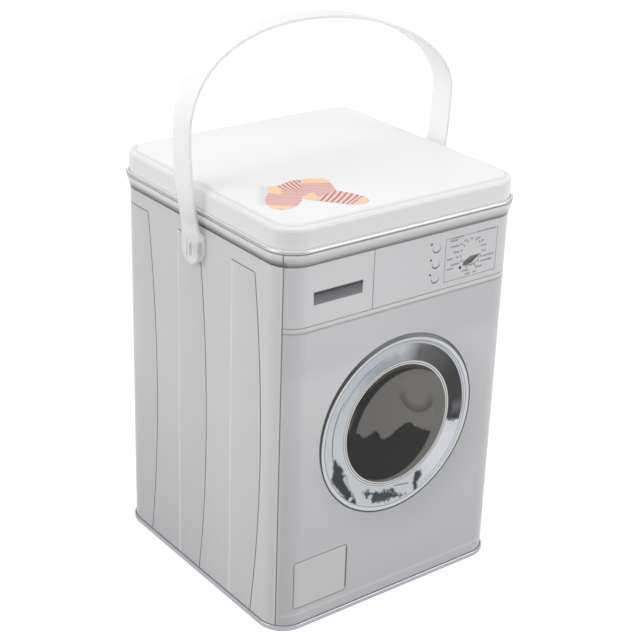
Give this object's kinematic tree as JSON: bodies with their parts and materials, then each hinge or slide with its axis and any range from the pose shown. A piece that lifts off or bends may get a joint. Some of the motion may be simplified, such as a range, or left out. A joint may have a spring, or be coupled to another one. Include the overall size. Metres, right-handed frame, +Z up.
{
  "type": "laundry storage tin",
  "caption": "Square tinplate storage box with a slip lid, rolled stop bead, seamed base and a plastic carrying strap, printed like a front-loading washing machine.",
  "frame": {"origin": "centre of the footprint, on the surface that the tin stands on", "axes": "+Z up; the printed front faces -Y; +X to the right for someone who looks at the front"},
  "size_m": [0.191, 0.1748, 0.3435],
  "materials": {
    "printed_tinplate": "printed and clear-lacquered, glossy",
    "plain_tinplate": "bare tinplate under clear lacquer",
    "white_tinplate": "white enamel, glossy",
    "clear_polypropylene": "translucent natural plastic, satin"
  },
  "bodies": {
    "tin": {"tin_body": "printed_tinplate", "bottom_panel": "plain_tinplate"},
    "lid": {"lid": "white_tinplate"},
    "handle": {"handle": "clear_polypropylene"}
  },
  "joints": [
    {"name": "handle_swing", "type": "hinge", "parent": "tin", "child": "handle", "pos_m": [0, 0, 0.2175], "axis": [1, 0, 0], "range_deg": [-115, 115]},
    {"name": "lid_lift", "type": "slide", "parent": "tin", "child": "lid", "axis": [0, 0, 1], "range_m": [0, 0.045]}
  ]
}
